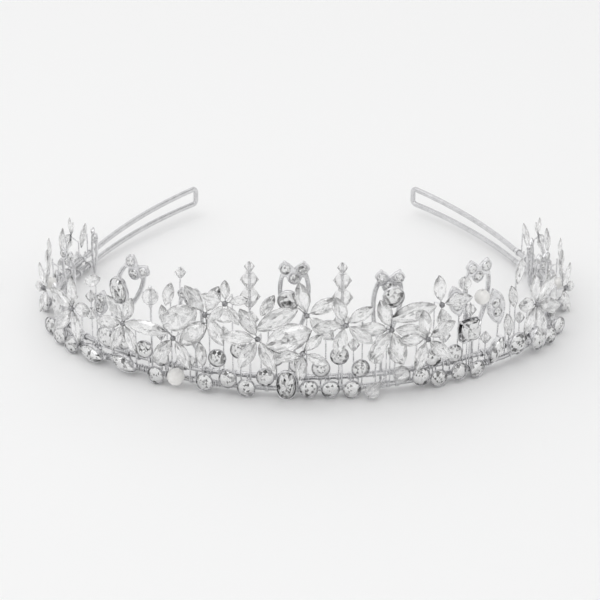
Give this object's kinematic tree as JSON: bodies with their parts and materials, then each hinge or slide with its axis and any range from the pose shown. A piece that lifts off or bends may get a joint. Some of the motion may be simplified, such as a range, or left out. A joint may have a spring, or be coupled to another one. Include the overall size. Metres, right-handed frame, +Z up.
{
  "type": "bridal tiara",
  "caption": "Wire-framed bridal tiara with crystal flowers, round crystals in cups, cast arches and bead spikes, ending in two springy hairpin arms.",
  "frame": {"origin": "on the surface that the tiara rests on, under the middle of its overall box", "axes": "+X across the head to the wearer's side that a viewer in front sees on the right, +Y from the front of the tiara to the open back, +Z up"},
  "size_m": [0.1586, 0.1303, 0.0406],
  "materials": {
    "silver_wire": "satin silver plate",
    "fine_wire": "bright drawn wire",
    "cast_metal": "polished silver plate with milled edges",
    "cup_metal": "polished silver plate, darker in the seats",
    "dark_metal": "darkened silver",
    "foiled_crystal": "clear, foil-backed, faceted",
    "petal_crystal": "clear, faceted",
    "bead_crystal": "clear, faceted, slightly milky",
    "pearl": "pearl lustre"
  },
  "bodies": {
    "band": {"upper_rail": "silver_wire", "lower_rail": "silver_wire", "binding_coils": "fine_wire", "arch_castings_front": "cast_metal", "arch_castings_left": "cast_metal", "arch_castings_right": "cast_metal", "arch_stones": "foiled_crystal", "leaf_castings": "cast_metal", "leaf_stones": "foiled_crystal", "lower_row_cups": "cup_metal", "lower_row_stones": "foiled_crystal", "upper_row_cups": "cup_metal", "upper_row_stones": "foiled_crystal", "left_side_cups": "cup_metal", "left_side_stones": "foiled_crystal", "right_side_cups": "cup_metal", "right_side_stones": "foiled_crystal", "cup_stems": "fine_wire", "large_stone_settings": "cast_metal", "large_round_stones": "foiled_crystal", "large_oval_stones": "foiled_crystal", "cushion_stone": "foiled_crystal", "petals_center": "petal_crystal", "petals_left": "petal_crystal", "petals_right": "petal_crystal", "petals_left_side": "petal_crystal", "petals_right_side": "petal_crystal", "single_petals": "petal_crystal", "flower_centers": "dark_metal", "flower_stems": "fine_wire", "spike_stems": "fine_wire", "spike_tip_beads": "bead_crystal", "spike_base_beads": "bead_crystal", "bead_stems": "fine_wire", "bicone_beads": "bead_crystal", "round_beads": "bead_crystal", "pearls": "pearl", "drop_bead": "bead_crystal"},
    "left_arm": {"left_arm": "silver_wire"},
    "right_arm": {"right_arm": "silver_wire"},
    "left_spike_upper_bead": {"left_spike_upper_bead": "bead_crystal"},
    "left_spike_lower_bead": {"left_spike_lower_bead": "bead_crystal"},
    "right_spike_upper_bead": {"right_spike_upper_bead": "bead_crystal"},
    "right_spike_lower_bead": {"right_spike_lower_bead": "bead_crystal"},
    "left_stem_bead": {"left_stem_bead": "bead_crystal"}
  },
  "joints": [
    {"name": "left_arm_flex", "type": "hinge", "parent": "band", "child": "left_arm", "pos_m": [-0.0645, 0.02737, 0.0036], "axis": [0, 0, 1], "range_deg": [-3, 6], "stiffness_Nm_per_rad": 0.6},
    {"name": "right_arm_flex", "type": "hinge", "parent": "band", "child": "right_arm", "pos_m": [0.0645, 0.02737, 0.0036], "axis": [0, 0, -1], "range_deg": [-3, 6], "stiffness_Nm_per_rad": 0.6},
    {"name": "left_spike_upper_spin", "type": "hinge", "parent": "band", "child": "left_spike_upper_bead", "pos_m": [-0.01511, -0.05348, 0.0354], "axis": [0, 0, 1], "continuous": true},
    {"name": "left_spike_lower_spin", "type": "hinge", "parent": "band", "child": "left_spike_lower_bead", "pos_m": [-0.01511, -0.05348, 0.0302], "axis": [0, 0, 1], "continuous": true},
    {"name": "right_spike_upper_spin", "type": "hinge", "parent": "band", "child": "right_spike_upper_bead", "pos_m": [0.0101, -0.05416, 0.0354], "axis": [0, 0, 1], "continuous": true},
    {"name": "right_spike_lower_spin", "type": "hinge", "parent": "band", "child": "right_spike_lower_bead", "pos_m": [0.0101, -0.05416, 0.0302], "axis": [0, 0, 1], "continuous": true},
    {"name": "left_stem_spin", "type": "hinge", "parent": "band", "child": "left_stem_bead", "pos_m": [-0.0427, -0.04446, 0.0256], "axis": [0, 0, 1], "continuous": true}
  ]
}
